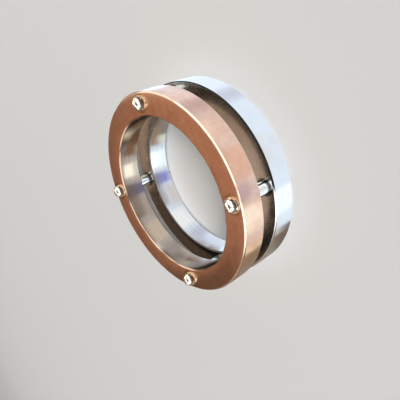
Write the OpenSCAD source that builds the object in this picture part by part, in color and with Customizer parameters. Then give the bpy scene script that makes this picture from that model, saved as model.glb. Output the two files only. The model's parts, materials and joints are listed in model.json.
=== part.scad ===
// Two-tone statement ring: two flat-sided hoops side by side on one axis, a rose-plated
// one and a plain steel one, held a small gap apart by four round posts. A domed screw
// on each side goes through the hoop into each end of every post.
// The ring lies on its side: the axis is +Z, the steel hoop is below, the rose hoop is
// above, and the origin is on the axis at the height of the lowest heads.

/* [Hoops] */
// Outer radius of both hoops
outer_r = 12.75; // [12.5:0.05:14.5]
// Radius of the finger bore
bore_r = 9.9; // [8:0.05:10]
// Width of each hoop along the axis
hoop_w = 3; // [2.8:0.1:4]
// Gap between the two hoops
gap_w = 2; // [1.8:0.1:3]
// Bevel on all eight rims of the hoops
bevel = 0.15; // [0.1:0.01:0.3]

/* [Posts] */
// Diameter of the posts that span the gap
post_d = 1.5; // [1.2:0.05:2]
// Radius of the circle that the posts and screws stand on
post_ring_r = 11.45; // [11.2:0.05:11.5]
// Angle of the first post around the axis, in degrees
post_angle = 0; // [-45:1:45]

/* [Screws] */
// Diameter of the domed heads
head_d = 1.8; // [1.6:0.05:2]
// Height of the domed heads
head_h = 0.9; // [0.4:0.05:0.9]
// Diameter of the screw shanks
shank_d = 0.9; // [0.7:0.05:1]
// Length of the shank beyond the hoop, inside the post
shank_reach = 0.6; // [0.3:0.05:0.8]

/* [Hidden] */
$fn = 64;

// Posts around the axis, each with a node of its own
post_count = 4;
// Heights of the lower side face of each hoop, of the gap and of the top side face
steel_z = head_h;
gap_z = steel_z + hoop_w;
rose_z = gap_z + gap_w;
top_z = rose_z + hoop_w;
// Running room around a shank in its hole
shank_fit = 0.05;
// Cutters run this far past the faces that they open
past = 1;
// Radius of the ball that a domed head is cut from
dome_r = (head_d * head_d / 4 + head_h * head_h) / (2 * head_h);

// Half section of a hoop with its four rims bevelled
module hoop_section() {
    polygon([
        [bore_r + bevel, 0],
        [outer_r - bevel, 0],
        [outer_r, bevel],
        [outer_r, hoop_w - bevel],
        [outer_r - bevel, hoop_w],
        [bore_r + bevel, hoop_w],
        [bore_r, hoop_w - bevel],
        [bore_r, bevel]
    ]);
}

// Moves its children to the place of post i, counted from 1
module at_post(i) {
    rotate([0, 0, post_angle + (i - 1) * 360 / post_count])
        translate([post_ring_r, 0, 0])
            children();
}

// A hoop with its lower side face at height z and a screw hole at each post
module hoop(z) {
    difference() {
        translate([0, 0, z]) rotate_extrude($fn = 128) hoop_section();
        for (i = [1:post_count])
            at_post(i)
                translate([0, 0, z - past])
                    cylinder(d = shank_d + 2 * shank_fit, h = hoop_w + 2 * past);
    }
}

// A post across the gap, drilled from both ends for the shanks
module post(i) {
    hole_h = shank_reach + shank_fit;
    hole_d = shank_d + 2 * shank_fit;
    at_post(i) translate([0, 0, gap_z]) difference() {
        cylinder(d = post_d, h = gap_w);
        translate([0, 0, -past]) cylinder(d = hole_d, h = hole_h + past);
        translate([0, 0, gap_w - hole_h]) cylinder(d = hole_d, h = hole_h + past);
    }
}

// A screw that stands head up, with the seat of its head at height 0
module screw() {
    intersection() {
        translate([0, 0, head_h - dome_r]) sphere(r = dome_r);
        cylinder(d = head_d + past, h = head_h + past);
    }
    translate([0, 0, -hoop_w - shank_reach]) cylinder(d = shank_d, h = hoop_w + shank_reach);
}

module steel_hoop() { color([0.78, 0.80, 0.84]) hoop(steel_z); }
module rose_hoop() { color([0.80, 0.52, 0.40]) hoop(rose_z); }
module spacer_post(i) { color([0.72, 0.73, 0.75]) post(i); }
module steel_screw(i) {
    color([0.85, 0.85, 0.86]) at_post(i) translate([0, 0, steel_z]) mirror([0, 0, 1]) screw();
}
module rose_screw(i) {
    color([0.85, 0.85, 0.86]) at_post(i) translate([0, 0, top_z]) screw();
}

steel_hoop();
rose_hoop();
spacer_post(1);  // post_1
spacer_post(2);  // post_2
spacer_post(3);  // post_3
spacer_post(4);  // post_4
steel_screw(1);  // steel_screw_1
steel_screw(2);  // steel_screw_2
steel_screw(3);  // steel_screw_3
steel_screw(4);  // steel_screw_4
rose_screw(1);  // rose_screw_1
rose_screw(2);  // rose_screw_2
rose_screw(3);  // rose_screw_3
rose_screw(4);  // rose_screw_4
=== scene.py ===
"""Dresses the two-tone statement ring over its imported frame, and sets up a small studio round it."""

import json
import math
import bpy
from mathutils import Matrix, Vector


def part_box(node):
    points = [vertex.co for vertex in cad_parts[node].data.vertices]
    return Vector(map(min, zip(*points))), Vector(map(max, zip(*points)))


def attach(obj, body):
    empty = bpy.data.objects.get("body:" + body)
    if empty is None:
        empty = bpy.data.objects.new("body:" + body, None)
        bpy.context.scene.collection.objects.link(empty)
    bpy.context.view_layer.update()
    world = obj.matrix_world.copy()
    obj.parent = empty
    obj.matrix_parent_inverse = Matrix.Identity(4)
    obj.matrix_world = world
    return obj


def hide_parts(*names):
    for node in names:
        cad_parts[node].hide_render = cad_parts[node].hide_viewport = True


bl_info = {
    "name": "Two-tone statement ring",
    "version": (1, 0, 0),
    "blender": (4, 5, 0),
    "location": "View3D > Sidebar > Ring",
    "description": "Builds the hoops, posts and domed screws of a two-tone ring and lights them",
    "category": "Object",
}

from typing import NamedTuple

import bmesh
import bpy
from mathutils import Matrix, Vector

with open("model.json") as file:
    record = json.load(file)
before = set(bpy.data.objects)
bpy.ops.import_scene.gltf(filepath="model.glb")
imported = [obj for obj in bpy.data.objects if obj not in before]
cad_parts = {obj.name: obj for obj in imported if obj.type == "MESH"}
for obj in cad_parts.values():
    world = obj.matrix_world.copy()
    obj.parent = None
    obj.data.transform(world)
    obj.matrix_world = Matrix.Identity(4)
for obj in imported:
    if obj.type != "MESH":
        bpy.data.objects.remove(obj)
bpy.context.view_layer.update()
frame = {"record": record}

# The trees work in millimetres, and the last step of each turns them into metres
MM = 1000.0
PIN_NUMBERS = (1, 2, 3, 4)
# Faces around the hoops' drills, the posts, the thinner bars and the balls of the heads
DRILL_STEPS = 64
POST_STEPS = 96
THIN_STEPS = 48
BALL_STEPS = 96
# Edges that bend by more than this stay sharp, on the hoops and on the posts and screws
HOOP_CREASE = math.radians(50.0)
PIN_CREASE = math.radians(40.0)
# Places of the colour sockets on the Mix node
MIX_AMOUNT, MIX_LOW, MIX_HIGH, MIX_RESULT = 0, 6, 7, 2

ROSE_LOW, ROSE_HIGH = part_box("rose_hoop")
STEEL_LOW, STEEL_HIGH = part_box("steel_hoop")
POST_LOW, POST_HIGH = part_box("post_1")
SCREW_LOW, SCREW_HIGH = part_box("rose_screw_1")
PIN_CIRCLE = (POST_LOW.x + POST_HIGH.x) / 2


def mount_size(name, key):
    """A size of a packed mount, in metres."""
    mount = next(m for m in frame["record"]["mounts"] if m["name"] == name)
    return mount["dims"][key] / MM


def length(name, description, default):
    """A length property, in metres."""
    return bpy.props.FloatProperty(
        name=name, description=description, default=default, min=0.0, precision=5, unit="LENGTH"
    )


def angle(name, description, degrees):
    """An angle property, with its default given in degrees."""
    return bpy.props.FloatProperty(
        name=name, description=description, default=math.radians(degrees), subtype="ANGLE"
    )


def tone(name, description, default):
    """A linear colour property."""
    return bpy.props.FloatVectorProperty(
        name=name, description=description, default=default, size=3, min=0.0, max=1.0, subtype="COLOR"
    )


def share(name, description, default):
    """A number from 0 to 1."""
    return bpy.props.FloatProperty(
        name=name, description=description, default=default, min=0.0, max=1.0, subtype="FACTOR"
    )


def plain_number(name, description, default):
    """A plain number that isn't negative."""
    return bpy.props.FloatProperty(name=name, description=description, default=default, min=0.0)


class RingSizes(bpy.types.PropertyGroup):
    """Sizes of the ring's pieces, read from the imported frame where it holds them."""

    outer_radius: length("Outer radius", "Outer radius of both hoops", ROSE_HIGH.x)
    bore_radius: length("Bore radius", "Radius of the finger bore", mount_size("finger_bore", "r_mm"))
    hoop_width: length("Hoop width", "Width of one hoop along the axis", ROSE_HIGH.z - ROSE_LOW.z)
    bevel: length("Bevel", "Bevel along the eight rims of the hoops", 0.00015)
    edge_round: length("Edge round", "Small round where a bevel meets a face", 0.00005)
    pin_circle: length("Pin circle", "Radius of the circle of posts and screws", PIN_CIRCLE)
    post_diameter: length("Post diameter", "Diameter of the posts", POST_HIGH.x - POST_LOW.x)
    head_diameter: length("Head diameter", "Diameter of the domed heads", SCREW_HIGH.x - SCREW_LOW.x)
    head_height: length("Head height", "Height of the domed heads", SCREW_HIGH.z - ROSE_HIGH.z)
    shank_diameter: length("Shank diameter", "Diameter of the screw shanks", 0.0009)
    shank_room: length("Shank room", "Room between a shank and its hole", 0.00005)
    turn_steps: bpy.props.IntProperty(
        name="Steps per turn", description="Faces around one turn of a hoop", default=384, min=64, max=1024
    )


class RingFinishes(bpy.types.PropertyGroup):
    """Colours and polish of the metals."""

    rose: tone("Rose plating", "Colour of the rose-gold plating", (0.88, 0.56, 0.425))
    rose_deep: tone("Deep rose", "Colour of the plating in its darker clouds", (0.68, 0.37, 0.26))
    # Colour of the lighter hairlines and pits, and of the painted highlight on the bevels and along the outer
    # edge
    rose_bright: tone("Bright rose", "Colour of the plating on polished bevels and marks", (0.95, 0.76, 0.64))
    rose_inner: tone("Inner rose edge", "Colour of the rose hoop's bevels along its bore", (0.52, 0.38, 0.29))
    # Painted shade on the plating round the heads
    pin_grime: tone("Shade by the heads", "Colour of the plating close to the heads", (0.40, 0.26, 0.10))
    steel: tone("Steel", "Colour of the polished steel", (0.86, 0.87, 0.89))
    steel_dull: tone("Dull steel", "Colour of the steel in its haze and fine marks", (0.77, 0.77, 0.80))
    # Painted highlight for the steel hoop's bevels
    steel_bright: tone("Bright steel", "Colour of the steel hoop's polished bevels", (0.95, 0.95, 0.97))
    # Painted shade: a near-black colour for half of the steel bevel by the gap
    steel_shade: tone("Shaded edge", "Colour of the bevel by the gap on its dull half", (0.02, 0.018, 0.016))
    # Painted shade: the rose hoop's brushed bore is much darker than the steel hoop's
    bore_warm: tone("Rose hoop's bore", "Colour of the brushed bore of the rose hoop", (0.50, 0.40, 0.325))
    bore_cool: tone("Steel hoop's bore", "Colour of the brushed bore of the steel hoop", (0.78, 0.78, 0.80))
    # Painted shade on one stretch of the rose hoop's bore
    bore_film: tone("Shade in the bore", "Colour of the film on one stretch of a bore", (0.30, 0.20, 0.10))
    gap_steel: tone("Steel in the gap", "Colour of the steel hoop's face inside the gap", (0.69, 0.70, 0.68))
    # Painted light on one stretch of the steel face in the gap
    gap_clean: tone("Lit steel in the gap", "Colour of that face where it is cleanest", (0.80, 0.87, 0.90))
    # Painted shade for the steel hoop's bevel between gap and bore
    gap_rim: tone("Steel rim in the gap", "Colour of that face's edge at the bore", (0.13, 0.11, 0.10))
    # Painted shade: the rose plating inside the gap, far darker than on its faces
    gap_rose: tone("Plating in the gap", "Colour of the rose hoop's face inside the gap", (0.30, 0.21, 0.155))
    post_shade: tone("Post ends", "Colour of the posts close to the hoops", (0.06, 0.055, 0.05))
    dome: tone("Screw heads", "Colour of the mirror-polished heads", (0.92, 0.90, 0.86))
    dome_dull: tone("Dull heads", "Colour of the heads in their haze", (0.74, 0.71, 0.66))
    plating_polish: share("Plating roughness", "Roughness of the clean plating", 0.11)
    steel_polish: share("Steel roughness", "Roughness of the clean polished steel", 0.08)
    brushing: share("Brushing roughness", "Roughness of the brushed bores", 0.08)
    gap_polish: share("Gap roughness", "Roughness of the faces inside the gap", 0.16)
    post_polish: share("Post roughness", "Roughness of the posts", 0.05)
    dome_polish: share("Head roughness", "Roughness of the screw heads", 0.04)
    # How much of the painted shade shows on the rose hoop's bore
    film_share: share("Shade in the bore", "How much the film covers on the rose hoop's bore", 0.85)
    gap_dish: angle("Gap dish", "How far the finish dishes the steel hoop's face inside the gap", 1.8)


class RingStudio(bpy.types.PropertyGroup):
    """Camera, floor and lights."""

    azimuth: angle("Azimuth", "Direction of the camera from +X", -68.696)
    elevation: angle("Elevation", "Camera angle above the floor", 34.744)
    roll: angle("Roll", "Turn of the camera about its own axis", -117.277)
    distance: length("Distance", "Distance from the camera to its aim", 0.052877)
    aim: bpy.props.FloatVectorProperty(
        name="Aim", description="Point in the middle of the view", default=(-0.001967, -0.001011, 0.0049),
        size=3, subtype="TRANSLATION", unit="LENGTH",
    )
    lens: plain_number("Lens", "Focal length, in mm", 37.65)
    sensor: plain_number("Sensor", "Width of the camera's sensor, in mm", 36.0)
    nearest: length("Nearest", "Where the camera's view starts", 0.001)
    farthest: length("Farthest", "Where the camera's view ends", 20.0)
    floor: tone("Floor", "Colour of the plain floor", (0.80, 0.785, 0.76))
    floor_size: length("Floor size", "Side of the square floor", 6.0)
    backdrop: tone("Backdrop", "Colour of the plain wall far behind the floor", (0.68, 0.665, 0.645))
    backdrop_radius: length("Backdrop radius", "Distance of the plain wall", 1.5)
    room: tone("Room", "Colour of the room's soft light", (0.96, 0.98, 1.00))
    room_glow: plain_number("Room glow", "Strength of the room's light", 0.15)
    key_glow: plain_number("Key glow", "Radiance of the key light", 27.5)
    key_aside: angle("Key aside", "Angle around the axis from the camera to the key light", -4.0)
    key_above: angle("Key above", "Angle of the key light above the floor", 35.0)
    key_distance: length("Key distance", "Distance of the key light", 6.0)
    key_size: length("Key size", "Side of the square key light", 2.2)
    tent_glow: plain_number("Tent glow", "Strength of the tent's panels", 1.0)
    tent_radius: length("Tent radius", "Radius of the tent", 0.5)


class TentPanel(NamedTuple):
    """A soft-edged panel of the tent: its middle, in degrees from the camera's side, and half its spans."""

    label: str
    around: float
    above: float
    wide: float
    tall: float
    edge: float
    colour: tuple


# The tent is what the polished metal mirrors: its lower panels show in the rims and the
# bore, and its upper ones in the side face, the gap, the bevels and the domed heads
TENT_LOW = (0.88, 0.97, 1.07)
TENT_BELT = (0.30, 0.22, 0.16)
TENT_TOP = (0.24, 0.21, 0.17)
# Angles above the floor over which one of these turns into the next
LOW_TO_BELT = (-18.0, -11.0)
BELT_TO_TOP = (11.0, 28.0)
TENT_PANELS = (
    TentPanel("right sky", 122.0, -42.0, 51.0, 10.0, 5.0, (0.96, 1.06, 1.19)),
    TentPanel("right dim wall", 88.0, -22.0, 16.0, 7.0, 4.0, (0.52, 0.51, 0.51)),
    TentPanel("far dim wall", 128.0, -22.0, 18.0, 7.0, 5.0, (0.34, 0.27, 0.22)),
    TentPanel("right shade", 76.0, -40.0, 4.0, 12.0, 13.0, (0.70, 0.74, 0.85)),
    TentPanel("middle dim wall", -8.0, -20.0, 16.0, 7.0, 2.5, (0.50, 0.46, 0.45)),
    TentPanel("low left shade", -34.0, -33.0, 7.0, 3.6, 3.0, (0.32, 0.34, 0.76)),
    TentPanel("left shade", -34.0, -19.0, 8.0, 8.0, 4.0, (0.33, 0.31, 0.36)),
    TentPanel("right window", 38.0, -22.0, 14.0, 13.0, 6.0, (1.15, 1.18, 1.13)),
    TentPanel("low warm wall", -2.0, -38.0, 16.0, 4.5, 3.0, (0.87, 0.80, 0.74)),
    TentPanel("left window", -65.0, -38.0, 13.0, 12.0, 5.0, (1.12, 1.17, 1.20)),
    TentPanel("top of the left window", -66.0, -36.5, 13.0, 3.8, 2.5, (1.13, 1.38, 1.40)),
    TentPanel("left lamp", -65.0, -18.0, 9.0, 11.0, 2.5, (2.50, 2.80, 2.90)),
    TentPanel("warm wall", -143.5, -34.0, 33.5, 22.0, 5.0, (0.225, 0.16, 0.115)),
    TentPanel("foot of the wall", -137.0, -56.0, 35.0, 13.0, 5.0, (0.18, 0.13, 0.09)),
    TentPanel("grey wall", -135.0, -36.0, 33.0, 2.5, 2.0, (0.31, 0.285, 0.235)),
    TentPanel("lit wall", -108.0, -22.0, 16.0, 9.0, 6.0, (0.40, 0.27, 0.19)),
    TentPanel("warm end of the window", -101.0, -36.5, 5.0, 2.0, 3.0, (0.96, 0.98, 0.78)),
    TentPanel("dark corner", -168.0, -24.0, 11.0, 10.0, 3.0, (0.07, 0.055, 0.045)),
    TentPanel("low dark corner", 174.0, -47.0, 12.0, 8.0, 4.0, (0.07, 0.055, 0.045)),
    TentPanel("end sky", 146.0, -34.0, 12.0, 2.5, 2.5, (1.10, 1.45, 1.85)),
    TentPanel("near wall", 22.0, 4.0, 48.0, 9.0, 6.0, (0.09, 0.06, 0.04)),
    TentPanel("low shade", -46.0, 15.0, 15.0, 11.0, 5.0, (0.15, 0.095, 0.065)),
    TentPanel("warm card", 180.0, 32.0, 24.0, 16.0, 7.0, (0.46, 0.295, 0.20)),
    TentPanel("foot of the card", 180.0, 18.0, 26.0, 9.0, 9.0, (0.27, 0.175, 0.12)),
    TentPanel("side of the card", -161.5, 24.0, 5.0, 10.0, 8.0, (0.15, 0.105, 0.075)),
    TentPanel("near window", 6.0, 52.0, 30.0, 14.0, 5.0, (1.75, 1.71, 1.60)),
    TentPanel("side window", 62.0, 41.0, 22.0, 18.0, 5.0, (1.80, 1.77, 1.62)),
    TentPanel("narrow window", 99.0, 40.0, 9.0, 5.0, 4.0, (1.40, 1.32, 1.15)),
    TentPanel("left skylight", -76.0, 46.0, 30.0, 16.0, 5.0, (1.80, 1.82, 1.78)),
    TentPanel("far right window", 134.0, 45.0, 17.0, 21.0, 5.0, (1.80, 1.76, 1.62)),
    TentPanel("low far window", 106.0, 16.0, 18.0, 10.0, 4.0, (1.30, 1.22, 1.05)),
    TentPanel("small window", -35.0, 45.0, 5.0, 4.0, 3.0, (1.50, 1.46, 1.36)),
    TentPanel("far left window", -132.0, 38.0, 12.0, 18.0, 5.0, (1.40, 1.36, 1.24)),
    TentPanel("far skylight", 180.0, 64.0, 50.0, 6.0, 4.0, (2.00, 1.96, 1.80)),
)


class Wire:
    """One socket of a graph, which takes part in Python arithmetic."""

    def __init__(self, graph, socket):
        self.graph = graph
        self.socket = socket

    def __add__(self, other):
        return self.graph.math("ADD", self, other)

    def __radd__(self, other):
        return self.graph.math("ADD", other, self)

    def __sub__(self, other):
        return self.graph.math("SUBTRACT", self, other)

    def __rsub__(self, other):
        return self.graph.math("SUBTRACT", other, self)

    def __mul__(self, other):
        return self.graph.math("MULTIPLY", self, other)

    def __rmul__(self, other):
        return self.graph.math("MULTIPLY", other, self)

    def __truediv__(self, other):
        return self.graph.math("DIVIDE", self, other)

    def __rtruediv__(self, other):
        return self.graph.math("DIVIDE", other, self)

    def __abs__(self):
        return self.graph.math("ABSOLUTE", self)


class Graph:
    """A node tree that is written as expressions."""

    def __init__(self, tree):
        self.tree = tree

    def node(self, kind, settings=None, inputs=None):
        """Adds a node, sets its settings first, and then its sockets by name or number."""
        made = self.tree.nodes.new(kind)
        for key, value in (settings or {}).items():
            setattr(made, key, value)
        for key, value in (inputs or {}).items():
            self.feed(made.inputs[key], value)
        return made

    def out(self, kind, settings=None, inputs=None, output=0):
        """Adds a node and returns one of its outputs as a wire."""
        return Wire(self, self.node(kind, settings, inputs).outputs[output])

    def feed(self, socket, value):
        """Links a wire to a socket, or sets the socket's own value."""
        if isinstance(value, Wire):
            self.tree.links.new(value.socket, socket)
        elif socket.type == "RGBA":
            socket.default_value = (*tuple(value)[:3], 1.0)
        else:
            socket.default_value = value

    def math(self, operation, *parts):
        """The answer of a Math node."""
        return self.out("ShaderNodeMath", {"operation": operation}, dict(enumerate(parts)))

    def vector(self, x, y, z):
        """Three numbers as one vector."""
        return self.out("ShaderNodeCombineXYZ", None, {0: x, 1: y, 2: z})

    def split(self, vector):
        """The three numbers of a vector."""
        parts = self.node("ShaderNodeSeparateXYZ", None, {0: vector})
        return [Wire(self, output) for output in parts.outputs]

    def flat_length(self, x, y):
        """Distance from the Z axis of a place at x and y."""
        return self.math("SQRT", x * x + y * y)


class Finish(Graph):
    """The shader tree of one material, with the coordinates of a ring around the Z axis."""

    def __init__(self, name):
        self.material = bpy.data.materials.new(name)
        self.material.use_nodes = True
        super().__init__(self.material.node_tree)
        self.tree.nodes.clear()
        place = Wire(self, self.node("ShaderNodeTexCoord").outputs["Object"])
        self.place = self.out("ShaderNodeVectorMath", {"operation": "SCALE"}, {0: place, "Scale": MM})
        self.x, self.y, self.z = self.split(self.place)
        self.radius = self.flat_length(self.x, self.y)

    def mix(self, amount, low, high):
        """One colour where amount is 0 and the other where it is 1."""
        inputs = {MIX_AMOUNT: amount, MIX_LOW: low, MIX_HIGH: high}
        return self.out("ShaderNodeMix", {"data_type": "RGBA"}, inputs, MIX_RESULT)

    def ease(self, value, start, end):
        """A soft step from 0 at start to 1 at end."""
        return self.out(
            "ShaderNodeMapRange",
            {"interpolation_type": "SMOOTHSTEP"},
            {"Value": value, "From Min": start, "From Max": end, "To Min": 0.0, "To Max": 1.0},
        )

    def noise(self, place, scale=1.0, detail=2.0, roughness=0.5):
        """Noise from 0 to 1 at a place."""
        return self.out(
            "ShaderNodeTexNoise",
            {"noise_dimensions": "3D"},
            {"Vector": place, "Scale": scale, "Detail": detail, "Roughness": roughness},
        )

    def clouds(self, per_mm, thin, shaded_side, detail=3.0, roughness=0.6):
        """Soft patches: 0 where the noise is under thin, and 1 where it is over thick."""
        return self.ease(self.noise(self.place, per_mm, detail, roughness), thin, shaded_side)

    def grain(self, per_turn, per_mm, detail):
        """Fine lines that run around the ring's axis, on bores, rims and side faces alike."""
        lean = 1.7
        around = per_turn / self.radius
        across = (self.z + lean * self.radius) * per_mm
        return self.noise(self.vector(self.x * around, self.y * around, across), 1.0, detail, 0.6)

    def rings(self, distance, per_mm):
        """Faint turning rings, by a distance in mm."""
        return self.noise(self.vector(0.0, 0.0, distance * per_mm), 1.0, 3.0, 0.6)

    def hairlines(self, turn, per_mm, width):
        """Long thin scratches in one direction, 25 times as long as wide."""
        stretch = 0.04
        place = self.out(
            "ShaderNodeMapping",
            None,
            {"Vector": self.place, "Rotation": turn, "Scale": (per_mm * stretch, per_mm, per_mm)},
        )
        level = abs(self.noise(place, 1.0, 1.0, 0.4) - 0.5)
        return 1.0 - self.ease(level, 0.0, width)

    def crossed_hairlines(self, first, second):
        """Scratches in two directions, each given as for hairlines."""
        return self.math("MAXIMUM", self.hairlines(*first), self.hairlines(*second))

    def specks(self, per_mm, size):
        """Small scattered pits, in about one cell of five."""
        cells = self.node("ShaderNodeTexVoronoi", None, {"Vector": self.place, "Scale": per_mm})
        spread = Wire(self, cells.outputs["Distance"])
        lot = self.node("ShaderNodeSeparateColor", None, {0: Wire(self, cells.outputs["Color"])})
        chosen = self.ease(Wire(self, lot.outputs[0]), 0.80, 0.84)
        return (1.0 - self.ease(spread, size * 0.5, size)) * chosen

    def towards(self, degrees):
        """1 on the ring's side at an angle around the axis from +X, and -1 on the opposite side."""
        way = math.radians(degrees)
        return (math.cos(way) * self.x + math.sin(way) * self.y) / self.radius

    def from_pins(self):
        """Distance from the axis of the nearest of the four pins, in mm."""
        circle = sizes().pin_circle * MM
        along = self.math("MAXIMUM", abs(self.x), abs(self.y)) - circle
        beside = self.math("MINIMUM", abs(self.x), abs(self.y))
        return self.flat_length(along, beside)

    def near_pins(self, start, end):
        """1 up to start from a pin's axis and 0 from end on, both in mm."""
        return 1.0 - self.ease(self.from_pins(), start, end)

    def metal(self, colour, roughness, height, depth):
        """Ends the tree in a metal shader with its bump, depth in mm."""
        bump = self.out("ShaderNodeBump", None, {"Strength": 1.0, "Distance": depth / MM, "Height": height})
        shader = self.out(
            "ShaderNodeBsdfPrincipled",
            None,
            {"Base Color": colour, "Metallic": 1.0, "Roughness": roughness, "Normal": bump},
        )
        return self.end(shader)

    def glow(self, colour, strength):
        """Ends the tree in a light of its own."""
        return self.end(self.out("ShaderNodeEmission", None, {"Color": colour, "Strength": strength}))

    def end(self, shader):
        """Makes a shader the material's surface, and returns the material."""
        self.node("ShaderNodeOutputMaterial", None, {"Surface": shader})
        return self.material


def sizes():
    """The sizes in use."""
    return bpy.context.scene.ring_sizes


def finishes():
    """The finishes in use."""
    return bpy.context.scene.ring_finishes


def studio():
    """The camera, floor and lights in use."""
    return bpy.context.scene.ring_studio


def dimmed(colour, part):
    """A colour with only a part of its light."""
    return tuple(part * channel for channel in colour)


# Materials


def hoop_bevel(graph, base):
    """1 on the bevels of a hoop whose lower face is at height base, in metres, and 0 on its faces."""
    s = sizes()
    half = s.hoop_width * MM / 2
    from_face = half - abs(graph.z - (base * MM + half))
    from_rim = graph.math("MINIMUM", s.outer_radius * MM - graph.radius, graph.radius - s.bore_radius * MM)
    bevel = s.bevel * MM
    # On a bevel the two distances add up to its size, and next to it to more
    return 1.0 - graph.ease(from_face + from_rim, bevel * 1.04, bevel * 1.30)


def rose_plating():
    """Polished rose-gold plating: soft clouds, fine turning lines, hairlines, pits, painted highlights on the
    bevels and edge, and painted shade by the heads.
    """
    f = finishes()
    g = Finish("rose_plating")
    outer = sizes().outer_radius * MM
    bore = sizes().bore_radius * MM
    bevel = hoop_bevel(g, ROSE_LOW.z)
    cloud = g.clouds(0.38, 0.34, 0.68)
    mottle = g.clouds(1.3, 0.35, 0.70)
    lines = g.grain(12.0, 9.0, 4.0)
    fine = g.grain(30.0, 26.0, 2.0)
    marks = g.crossed_hairlines(((0.0, 0.3, 0.7), 0.9, 0.006), ((0.4, 0.0, -1.1), 1.1, 0.005))
    pits = g.specks(1.6, 0.10)
    colour = g.mix(0.50 * cloud + 0.28 * mottle + 0.08 * lines, f.rose, f.rose_deep)
    colour = g.mix(marks * 0.15, colour, f.rose_bright)
    # Painted shade: the plating darkens round the heads
    colour = g.mix(g.near_pins(0.95, 1.45) * 0.75, colour, f.pin_grime)
    # Painted highlight: the plating lightens towards the outer edge
    edge_highlight = g.ease(g.radius, outer - 0.6, outer - 0.1)
    colour = g.mix(edge_highlight * 0.20, colour, f.rose_bright)
    # Painted highlight on the bevels, strongest on the outer ones
    outside = g.ease(g.radius, bore + 0.8, bore + 1.2)
    colour = g.mix(bevel * (0.15 + 0.60 * outside), colour, f.rose_bright)
    colour = g.mix(bevel * (1.0 - outside) * 0.85, colour, f.rose_inner)
    colour = g.mix(pits * 0.45, colour, f.rose_bright)
    rough = f.plating_polish + 0.05 * cloud + 0.03 * lines + 0.06 * marks + 0.08 * pits - 0.03 * bevel
    height = 0.25 * lines + 0.20 * fine - 0.40 * marks - 0.7 * pits
    return g.metal(colour, rough, height, 0.0006)


def polished_steel():
    """Polished steel: haze, turning lines, hairlines, a painted highlight on the bevels, and painted shade on
    half of one.
    """
    f = finishes()
    g = Finish("polished_steel")
    bevel = hoop_bevel(g, STEEL_LOW.z)
    haze = g.clouds(0.42, 0.36, 0.70, roughness=0.55)
    lines = g.grain(12.0, 9.0, 4.0)
    marks = g.crossed_hairlines(((0.2, 0.5, 0.1), 0.9, 0.006), ((-0.5, 0.2, 1.3), 1.2, 0.005))
    colour = g.mix(0.35 * haze + 0.15 * lines, f.steel, f.steel_dull)
    colour = g.mix(marks * 0.12, colour, f.steel_dull)
    # Painted highlight: the steel bevels are lighter than the faces
    colour = g.mix(bevel * 0.7, colour, f.steel_bright)
    gap_height = STEEL_HIGH.z * MM
    by_gap = bevel * g.ease(g.z, gap_height - 0.5, gap_height - 0.2)
    # Painted shade: the bevel by the gap turns near black on its half towards +X
    shaded_half = g.ease(g.towards(0.0), -0.10, 0.03)
    colour = g.mix(by_gap * shaded_half, colour, f.steel_shade)
    rough = f.steel_polish + 0.05 * haze + 0.03 * lines + 0.06 * marks - 0.02 * bevel
    height = 0.30 * lines - 0.40 * marks
    return g.metal(colour, rough, height, 0.0005)


def brushed_bore(name, light, film):
    """Steel brushed around the bore in coarse and fine lines, with a share of brown painted shade on one
    stretch.
    """
    f = finishes()
    g = Finish(name)
    coarse = g.grain(2.0, 5.0, 3.0)
    lines = g.grain(4.0, 14.0, 4.0)
    fine = g.grain(9.0, 34.0, 2.0)
    streaks = g.ease(0.40 * coarse + 0.60 * lines, 0.32, 0.68)
    colour = g.mix(0.60 * (1.0 - streaks), light, dimmed(light, 0.70))
    # Painted shade: a brown darkening on the stretch of the bore that faces 25 degrees from +X, as much as
    # film gives
    bore_shade_angle = 25.0
    stretch = g.ease(g.towards(bore_shade_angle), 0.88, 0.94)
    colour = g.mix(stretch * film, colour, f.bore_film)
    rough = f.brushing + 0.08 * lines + 0.05 * coarse
    height = 0.6 * lines + 0.5 * fine + 0.2 * coarse
    return g.metal(colour, rough, height, 0.0014)


def gap_face(name, light, rim, dish=0.0, clean=None):
    """A face inside the gap: turned and patchy with brown film, with painted shade on one side and round the
    posts, a rim colour at the bore, and an optional painted lit stretch.
    """
    g = Finish(name)
    bore = sizes().bore_radius * MM
    lines = g.grain(6.0, 8.0, 4.0)
    film = g.clouds(0.7, 0.30, 0.72)
    colour = g.mix(0.60 * film + 0.25 * lines, light, dimmed(light, 0.70))
    # Painted light: a lighter, bluish stretch of the steel face towards -90 degrees from +X
    if clean is not None:
        lit_angle = -90.0
        colour = g.mix(g.ease(g.towards(lit_angle), 0.80, 0.99) * 0.8, colour, clean)
    # Painted shade: the face darkens on its side towards 150 degrees from +X
    shaded_side_angle = 150.0
    shaded_side = g.ease(g.towards(shaded_side_angle) + 0.25 * film, 0.45, 0.90)
    colour = g.mix(shaded_side * 0.90, colour, dimmed(light, 0.14))
    # Painted shadow: a dark ring on the face round each post
    colour = g.mix(g.near_pins(0.92, 1.20) * 0.92, colour, dimmed(light, 0.12))
    # Painted shade: the rim colour along the bore's edge, near black on the steel hoop
    colour = g.mix(1.0 - g.ease(g.radius, bore + 0.10, bore + 0.20), colour, rim)
    rough = finishes().gap_polish + 0.10 * film + 0.06 * lines
    # Heights count in shares of the depth, so this ramp along the radius leans the face by the dish
    depth = 0.0010
    height = 0.8 * lines + g.radius * (math.tan(dish) / depth)
    return g.metal(colour, rough, height, depth)


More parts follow.
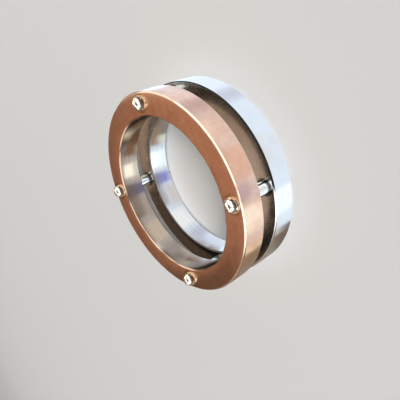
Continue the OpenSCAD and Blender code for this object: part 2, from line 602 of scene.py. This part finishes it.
def turned_post():
    """Polished round bar with faint turning rings along it and dark ends."""
    f = finishes()
    g = Finish("turned_post")
    rings = g.rings(g.z, 14.0)
    haze = g.noise(g.place, 1.4)
    marks = g.hairlines((0.0, 1.2, 0.3), 1.5, 0.008)
    colour = g.mix(0.30 * rings + 0.2 * haze, f.steel, f.steel_dull)
    from_end = g.math("MINIMUM", g.z - POST_LOW.z * MM, POST_HIGH.z * MM - g.z)
    colour = g.mix((1.0 - g.ease(from_end, 0.02, 0.14)) * 0.8, colour, f.post_shade)
    rough = f.post_polish + 0.05 * rings + 0.04 * marks
    return g.metal(colour, rough, 0.6 * rings - 0.4 * marks, 0.0006)


def mirror_dome():
    """Mirror-polished head with the faintest rings about its own axis."""
    f = finishes()
    g = Finish("mirror_dome")
    rings = g.rings(g.from_pins(), 11.0)
    haze = g.clouds(1.8, 0.35, 0.70, detail=2.0, roughness=0.5)
    marks = g.hairlines((0.3, 0.6, 0.9), 1.6, 0.008)
    colour = g.mix(0.15 * haze + 0.15 * rings, f.dome, f.dome_dull)
    rough = f.dome_polish + 0.03 * haze + 0.06 * marks + 0.02 * rings
    return g.metal(colour, rough, 0.5 * rings - 0.4 * marks, 0.0003)


def pale_floor():
    """Plain matt floor with a trace of unevenness."""
    g = Finish("pale_floor")
    tint = studio().floor
    colour = g.mix(0.5 * g.noise(g.place, 0.02), tint, dimmed(tint, 0.97))
    return g.end(g.out("ShaderNodeBsdfPrincipled", None, {"Base Color": colour, "Roughness": 0.75}))


def tent_light():
    """The glow of the tent's cloth and of its panels."""
    st = studio()
    g = Finish("tent_light")
    x, y, z = g.split(g.out("ShaderNodeVectorMath", {"operation": "NORMALIZE"}, {0: g.place}))
    around = g.math("DEGREES", g.math("ARCTAN2", y, x)) - math.degrees(st.azimuth)
    above = g.math("DEGREES", g.math("ARCSINE", z))
    colour = g.mix(g.ease(above, *LOW_TO_BELT), TENT_LOW, TENT_BELT)
    colour = g.mix(g.ease(above, *BELT_TO_TOP), colour, TENT_TOP)
    for panel in TENT_PANELS:
        aside = abs(g.math("WRAP", around - panel.around, 180.0, -180.0))
        level = abs(above - panel.above)
        inside = 1.0 - g.ease(aside, panel.wide, panel.wide + panel.edge)
        inside = inside * (1.0 - g.ease(level, panel.tall, panel.tall + panel.edge))
        colour = g.mix(inside, colour, panel.colour)
        colour.socket.node.label = panel.label
    return g.glow(colour, st.tent_glow)


# Shapes


def label(key):
    """The label that a size has on its tree."""
    return key.replace("_", " ").capitalize()


class Shape(Graph):
    """A geometry tree with named sizes, in millimetres, that ends in one mesh in metres."""

    def __init__(self, name, **named):
        super().__init__(bpy.data.node_groups.new(name, "GeometryNodeTree"))
        self.tree.interface.new_socket("Geometry", in_out="OUTPUT", socket_type="NodeSocketGeometry")
        kinds = {float: "NodeSocketFloat", int: "NodeSocketInt", bpy.types.Material: "NodeSocketMaterial"}
        for key, value in named.items():
            kind = next(v for k, v in kinds.items() if isinstance(value, k))
            socket = self.tree.interface.new_socket(label(key), in_out="INPUT", socket_type=kind)
            if kind != "NodeSocketMaterial":
                socket.default_value = value
        group = self.node("NodeGroupInput")
        self.values = {key: Wire(self, group.outputs[label(key)]) for key in named}
        self.given = {label(key): value for key, value in named.items()}

    def __getattr__(self, key):
        try:
            return self.__dict__["values"][key]
        except KeyError:
            raise AttributeError(key) from None

    def move(self, geometry, z, turn=(0.0, 0.0, 0.0)):
        """The geometry turned and then lifted."""
        return self.out(
            "GeometryNodeTransform",
            None,
            {"Geometry": geometry, "Translation": self.vector(0.0, 0.0, z), "Rotation": turn},
        )

    def bar(self, radius, depth, steps):
        """A round bar about Z with its middle at the origin."""
        inputs = {"Vertices": steps, "Radius": radius, "Depth": depth}
        return self.out("GeometryNodeMeshCylinder", {"fill_type": "NGON"}, inputs)

    def cut(self, operation, first, second):
        """One solid cut from, joined to or held within another."""
        made = self.node("GeometryNodeMeshBoolean", {"operation": operation, "solver": "EXACT"})
        self.feed(made.inputs["Mesh 1" if operation == "DIFFERENCE" else "Mesh 2"], first)
        self.feed(made.inputs["Mesh 2"], second)
        return Wire(self, made.outputs["Mesh"])

    def weld(self, mesh, reach):
        """Joins points that a cut left in the same place."""
        return self.out("GeometryNodeMergeByDistance", None, {"Geometry": mesh, "Distance": reach})

    def round_the_pins(self, thing):
        """An instance of a thing at each place on the pin circle, the first on +X."""
        places = self.out("GeometryNodeMeshCircle", None, {"Vertices": self.pins, "Radius": self.pin_circle})
        return self.out("GeometryNodeInstanceOnPoints", None, {"Points": places, "Instance": thing})

    def realize(self, geometry):
        """Instances turned into real geometry."""
        return self.out("GeometryNodeRealizeInstances", None, {0: geometry})

    def below(self, value, limit):
        """True where a value is under a limit."""
        return self.out("FunctionNodeCompare", {"operation": "LESS_THAN"}, {0: value, 1: limit})

    def logic(self, operation, first, second):
        """True where both are true, with AND, or at least one of them, with OR."""
        return self.out("FunctionNodeBooleanMath", {"operation": operation}, {0: first, 1: second})

    def finish_mesh(self, mesh, crease):
        """The mesh with smooth faces and sharp creases, scaled to metres."""
        bend = self.out("GeometryNodeInputMeshEdgeAngle")
        sharp = self.out("FunctionNodeCompare", {"operation": "GREATER_THAN"}, {0: bend, 1: crease})
        smooth = self.out(
            "GeometryNodeSetShadeSmooth", {"domain": "FACE"}, {"Geometry": mesh, "Shade Smooth": True}
        )
        creased = self.out(
            "GeometryNodeSetShadeSmooth",
            {"domain": "EDGE"},
            {"Geometry": smooth, "Selection": sharp, "Shade Smooth": False},
        )
        metre = 1.0 / MM
        return self.out("GeometryNodeTransform", None, {"Geometry": creased, "Scale": (metre, metre, metre)})

    def end(self, geometry, material, *others):
        """Ends the tree in real geometry of one material, with others where a wire is true."""
        result = self.realize(geometry)
        result = self.out("GeometryNodeSetMaterial", None, {"Geometry": result, "Material": material})
        for other, where in others:
            inputs = {"Geometry": result, "Selection": where, "Material": other}
            result = self.out("GeometryNodeSetMaterial", None, inputs)
        self.node("NodeGroupOutput", None, {0: result})
        return self


def hoop_shape(base, gap_side, plating, bore, gap):
    """A bevelled section swept around the axis and drilled for the shanks.

    base is the height of its lower face, and gap_side is 1 with the gap above it and -1 below.
    """
    s = sizes()
    g = Shape(
        "hoop_shape",
        outer_radius=s.outer_radius * MM,
        bore_radius=s.bore_radius * MM,
        width=s.hoop_width * MM,
        bevel=s.bevel * MM,
        edge_round=s.edge_round * MM,
        base_height=base * MM,
        gap_side=gap_side,
        pin_circle=s.pin_circle * MM,
        hole_diameter=(s.shank_diameter + 2 * s.shank_room) * MM,
        pins=len(PIN_NUMBERS),
        steps=s.turn_steps,
        plating=plating,
        bore_finish=bore,
        gap_finish=gap,
    )
    thickness = g.outer_radius - g.bore_radius
    middle = (g.outer_radius + g.bore_radius) * 0.5
    section = g.out(
        "GeometryNodeCurvePrimitiveQuadrilateral",
        {"mode": "RECTANGLE"},
        {"Width": thickness, "Height": g.width},
    )
    for radius, count in ((g.bevel, 1), (g.edge_round, 4)):
        section = g.out(
            "GeometryNodeFilletCurve", {"mode": "POLY"}, {"Curve": section, "Count": count, "Radius": radius}
        )
    path = g.out(
        "GeometryNodeCurvePrimitiveCircle", {"mode": "RADIUS"}, {"Resolution": g.steps, "Radius": middle}
    )
    ring = g.out("GeometryNodeCurveToMesh", None, {"Curve": path, "Profile Curve": section})
    holes = g.realize(g.round_the_pins(g.bar(g.hole_diameter * 0.5, g.width * 2.0, DRILL_STEPS)))
    drilled = g.weld(g.cut("DIFFERENCE", ring, holes), g.edge_round * 0.02)
    middle_height = g.base_height + g.width * 0.5
    hoop = g.finish_mesh(g.move(drilled, middle_height), HOOP_CREASE)
    x, y, z = g.split(g.out("GeometryNodeInputPosition"))
    radius = g.flat_length(x, y) * MM
    to_gap = g.width * 0.5 - (z * MM - middle_height) * g.gap_side
    # The limits are shares of the bevel, so that each finish ends within it
    in_bore = g.below(radius, g.bore_radius + g.bevel * 0.15)
    in_gap = g.below(to_gap, g.bevel * 0.04)
    # The bevel between gap and bore takes the gap finish and its painted shade
    gap_rim = g.logic("AND", g.below(radius, g.bore_radius + g.bevel * 0.99), g.below(to_gap, g.bevel * 0.85))
    in_gap = g.logic("OR", in_gap, gap_rim)
    return g.end(hoop, g.plating, (g.bore_finish, in_bore), (g.gap_finish, in_gap))


def post_shape(finish):
    """Four round posts, each drilled from both ends."""
    s = sizes()
    reach = ROSE_LOW.z - SCREW_LOW.z
    g = Shape(
        "post_shape",
        post_diameter=s.post_diameter * MM,
        gap=(POST_HIGH.z - POST_LOW.z) * MM,
        base_height=POST_LOW.z * MM,
        hole_diameter=(s.shank_diameter + 2 * s.shank_room) * MM,
        hole_depth=(reach + s.shank_room) * MM,
        pin_circle=s.pin_circle * MM,
        pins=len(PIN_NUMBERS),
        finish=finish,
    )
    bar = g.bar(g.post_diameter * 0.5, g.gap, POST_STEPS)
    drill = g.bar(g.hole_diameter * 0.5, g.hole_depth * 2.0, THIN_STEPS)
    post = g.cut("DIFFERENCE", bar, g.move(drill, g.gap * 0.5))
    post = g.cut("DIFFERENCE", post, g.move(drill, g.gap * -0.5))
    posts = g.move(g.round_the_pins(post), g.base_height + g.gap * 0.5)
    return g.end(g.finish_mesh(posts, PIN_CREASE), g.finish)


def screw_shape(seat, turned_over, finish):
    """Four domed screws with their heads' seats at one height."""
    s = sizes()
    g = Shape(
        "screw_shape",
        head_diameter=s.head_diameter * MM,
        head_height=s.head_height * MM,
        shank_diameter=s.shank_diameter * MM,
        shank_length=(ROSE_HIGH.z - SCREW_LOW.z) * MM,
        seat_height=seat * MM,
        pin_circle=s.pin_circle * MM,
        pins=len(PIN_NUMBERS),
        finish=finish,
    )
    half = g.head_diameter * 0.5
    ball_radius = (half * half + g.head_height * g.head_height) / (2.0 * g.head_height)
    ball = g.out(
        "GeometryNodeMeshUVSphere", None, {"Segments": BALL_STEPS, "Rings": BALL_STEPS, "Radius": ball_radius}
    )
    sunk = g.move(ball, g.head_height - ball_radius)
    above = g.move(g.bar(g.head_diameter, g.head_height * 2.0, DRILL_STEPS), g.head_height)
    head = g.cut("INTERSECT", sunk, above)
    overlap = g.head_height * 0.4
    bar = g.bar(g.shank_diameter * 0.5, g.shank_length + overlap, THIN_STEPS)
    screw = g.cut("UNION", head, g.move(bar, (overlap - g.shank_length) * 0.5))
    if turned_over:
        screw = g.move(screw, 0.0, (math.pi, 0.0, 0.0))
    screws = g.move(g.round_the_pins(screw), g.seat_height)
    return g.end(g.finish_mesh(screws, PIN_CREASE), g.finish)


def make_piece(name, shape, nodes, body="root"):
    """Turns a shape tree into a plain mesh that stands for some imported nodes."""
    piece = bpy.data.objects.new(name, bpy.data.meshes.new(name))
    bpy.context.scene.collection.objects.link(piece)
    build = piece.modifiers.new("Shape", "NODES")
    build.node_group = shape.tree
    for socket in shape.tree.interface.items_tree:
        if socket.item_type == "SOCKET" and socket.in_out == "INPUT":
            build[socket.identifier] = shape.given[socket.name]
    even = piece.modifiers.new("Even shading", "WEIGHTED_NORMAL")
    even.keep_sharp = True
    graph = bpy.context.evaluated_depsgraph_get()
    plain = bpy.data.meshes.new_from_object(piece.evaluated_get(graph), depsgraph=graph)
    piece.modifiers.clear()
    piece.data = plain
    plain.name = name
    if not plain.polygons:
        raise RuntimeError(f"{name} came out empty")
    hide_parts(*nodes)
    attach(piece, body)


# Stage


def stage_piece(name, mesh, material):
    """Puts a mesh of one material on the stage."""
    mesh.materials.append(material)
    made = bpy.data.objects.new(name, mesh)
    bpy.context.scene.collection.objects.link(made)
    return made


def square_floor(name, size, material):
    """A square on the ground around the origin, with its front up."""
    half = size / 2
    corners = [(half * a, half * b, 0.0) for a, b in ((-1, -1), (1, -1), (1, 1), (-1, 1))]
    mesh = bpy.data.meshes.new(name)
    mesh.from_pydata(corners, [], [(0, 1, 2, 3)])
    return stage_piece(name, mesh, material)


def ball(name, radius, material):
    """A ball around the origin that is seen from within."""
    mesh = bpy.data.meshes.new(name)
    build = bmesh.new()
    bmesh.ops.create_icosphere(build, subdivisions=5, radius=radius)
    bmesh.ops.reverse_faces(build, faces=build.faces)
    build.to_mesh(mesh)
    build.free()
    return stage_piece(name, mesh, material)


def stand(thing, place, side, up, back):
    """Stands a camera or a light at a place, with its own axes along three directions."""
    thing.matrix_world = Matrix.Translation(place) @ Matrix((side, up, back)).transposed().to_4x4()
    bpy.context.scene.collection.objects.link(thing)


def softbox(name, back, distance, size, glow):
    """A square light that faces the origin from a direction, with the given radiance."""
    light = bpy.data.lights.new(name, "AREA")
    light.shape = "RECTANGLE"
    light.size = size
    light.size_y = size
    light.energy = glow * math.pi * size * size
    made = bpy.data.objects.new(name, light)
    upwards = Vector((0.0, 0.0, 1.0))
    side = (upwards - back * upwards.dot(back)).normalized()
    stand(made, back * distance, side, back.cross(side), back)
    return made


def polar(azimuth, elevation):
    """A direction from its angle about Z and its angle above the floor."""
    flat = math.cos(elevation)
    return Vector((flat * math.cos(azimuth), flat * math.sin(azimuth), math.sin(elevation)))


# Operators


class RING_OT_camera(bpy.types.Operator):
    """Place the camera"""

    bl_idname = "ring.camera"
    bl_label = "Place camera"

    def execute(self, context):
        st = studio()
        back = polar(st.azimuth, st.elevation)
        level = Vector((0.0, 0.0, 1.0)).cross(back).normalized()
        upright = back.cross(level)
        side = level * math.cos(st.roll) + upright * math.sin(st.roll)
        up = upright * math.cos(st.roll) - level * math.sin(st.roll)
        data = bpy.data.cameras.new("camera")
        data.sensor_width = st.sensor
        data.lens = st.lens
        data.clip_start = st.nearest
        data.clip_end = st.farthest
        camera = bpy.data.objects.new("camera", data)
        stand(camera, Vector(st.aim) + back * st.distance, side, up, back)
        context.scene.camera = camera
        return {"FINISHED"}


class RING_OT_hoops(bpy.types.Operator):
    """Build the rose hoop and the steel hoop"""

    bl_idname = "ring.hoops"
    bl_label = "Build hoops"

    def execute(self, context):
        f = finishes()
        # The rose hoop's bore is a darker, painted-shade copy of the brushed steel
        rose_bore = brushed_bore("brushed_bore_warm", f.bore_warm, f.film_share)
        steel_bore = brushed_bore("brushed_bore_cool", f.bore_cool, 0.0)
        # The rose hoop's face in the gap is painted shade, a far darker copy of the plating
        rose_gap = gap_face("gap_plating", f.gap_rose, f.gap_rose)
        steel_gap = gap_face("gap_steel", f.gap_steel, f.gap_rim, f.gap_dish, f.gap_clean)
        rose = hoop_shape(ROSE_LOW.z, -1.0, rose_plating(), rose_bore, rose_gap)
        make_piece("rose_band", rose, ["rose_hoop"])
        steel = hoop_shape(STEEL_LOW.z, 1.0, polished_steel(), steel_bore, steel_gap)
        make_piece("steel_band", steel, ["steel_hoop"])
        return {"FINISHED"}


class RING_OT_posts(bpy.types.Operator):
    """Build the four posts across the gap"""

    bl_idname = "ring.posts"
    bl_label = "Build posts"

    def execute(self, context):
        nodes = [f"post_{number}" for number in PIN_NUMBERS]
        make_piece("spacer_posts", post_shape(turned_post()), nodes)
        return {"FINISHED"}


class RING_OT_screws(bpy.types.Operator):
    """Build the domed screws on both side faces"""

    bl_idname = "ring.screws"
    bl_label = "Build screws"

    def execute(self, context):
        finish = mirror_dome()
        for side, seat, turned_over in (("rose", ROSE_HIGH.z, False), ("steel", STEEL_LOW.z, True)):
            nodes = [f"{side}_screw_{number}" for number in PIN_NUMBERS]
            make_piece(f"{side}_side_screws", screw_shape(seat, turned_over, finish), nodes)
        return {"FINISHED"}


class RING_OT_studio(bpy.types.Operator):
    """Lay the floor, and set the key light, the room and the tent"""

    bl_idname = "ring.studio"
    bl_label = "Set studio"

    def execute(self, context):
        st = studio()
        floor = square_floor("floor", st.floor_size, pale_floor())
        tent = ball("tent", st.tent_radius, tent_light())
        backdrop = ball("backdrop", st.backdrop_radius, Finish("backdrop_light").glow(st.backdrop, 1.0))
        key_way = polar(st.azimuth + st.key_aside, st.key_above)
        key = softbox("key_light", key_way, st.key_distance, st.key_size, st.key_glow)
        # The metal mirrors only the tent, and the tent lights nothing else. The camera sees the
        # ring, the floor and the backdrop
        for thing in (floor, backdrop, key):
            thing.visible_glossy = False
        for thing in (tent, key):
            thing.visible_camera = False
        for thing in (tent, backdrop):
            thing.visible_diffuse = False
            thing.visible_shadow = False
        world = bpy.data.worlds.new("room")
        world.use_nodes = True
        g = Graph(world.node_tree)
        g.tree.nodes.clear()
        light = g.out("ShaderNodeBackground", None, {"Color": st.room, "Strength": st.room_glow})
        g.node("ShaderNodeOutputWorld", None, {"Surface": light})
        context.scene.world = world
        context.scene.view_settings.view_transform = "Standard"
        return {"FINISHED"}


class RING_PT_panel(bpy.types.Panel):
    """Buttons and sizes of the ring"""

    bl_idname = "RING_PT_panel"
    bl_label = "Statement ring"
    bl_space_type = "VIEW_3D"
    bl_region_type = "UI"
    bl_category = "Ring"

    def draw(self, context):
        layout = self.layout
        for step in STEPS:
            layout.operator(step.bl_idname)
        for group in (context.scene.ring_sizes, context.scene.ring_finishes, context.scene.ring_studio):
            box = layout.box()
            for key in type(group).__annotations__:
                box.prop(group, key)


STEPS = (RING_OT_camera, RING_OT_hoops, RING_OT_posts, RING_OT_screws, RING_OT_studio)
CLASSES = (RingSizes, RingFinishes, RingStudio, *STEPS, RING_PT_panel)


def register():
    """Adds the classes and the scene's properties."""
    for cls in CLASSES:
        bpy.utils.register_class(cls)
    bpy.types.Scene.ring_sizes = bpy.props.PointerProperty(type=RingSizes)
    bpy.types.Scene.ring_finishes = bpy.props.PointerProperty(type=RingFinishes)
    bpy.types.Scene.ring_studio = bpy.props.PointerProperty(type=RingStudio)


def unregister():
    """Takes them away again."""
    del bpy.types.Scene.ring_studio
    del bpy.types.Scene.ring_finishes
    del bpy.types.Scene.ring_sizes
    for cls in reversed(CLASSES):
        bpy.utils.unregister_class(cls)


def main():
    """Builds the ring and its studio."""
    register()
    bpy.ops.ring.camera()
    bpy.ops.ring.hoops()
    bpy.ops.ring.posts()
    bpy.ops.ring.screws()
    bpy.ops.ring.studio()


if __name__ == "__main__":
    main()
